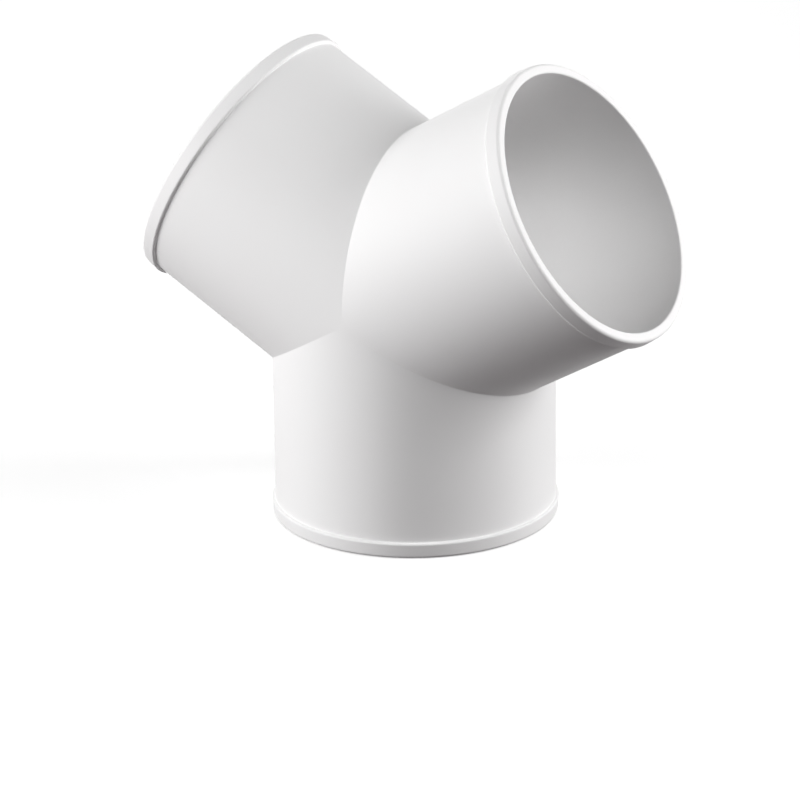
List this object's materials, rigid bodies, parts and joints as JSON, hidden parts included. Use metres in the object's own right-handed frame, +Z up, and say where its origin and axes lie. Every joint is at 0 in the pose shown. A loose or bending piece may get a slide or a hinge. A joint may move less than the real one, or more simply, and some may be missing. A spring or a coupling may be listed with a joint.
{
  "type": "y-shaped duct connector",
  "caption": "Y-shaped duct connector moulded in one piece, with equal round tubes and beaded ends, which joins or splits flexible air ducts.",
  "frame": {"origin": "middle of the lower tube's end face, on which the connector stands", "axes": "+Z up the lower tube's axis to the point where the tubes meet; the two upper tubes lean 60 degrees from upright towards +X and -X; the axes of all the tubes lie in the plane Y = 0, and -Y is the front"},
  "size_m": [0.2386, 0.127, 0.2071],
  "materials": {
    "shell": "satin injection-moulded ABS, white"
  },
  "bodies": {
    "root": {"connector_body": "shell"}
  },
  "joints": []
}
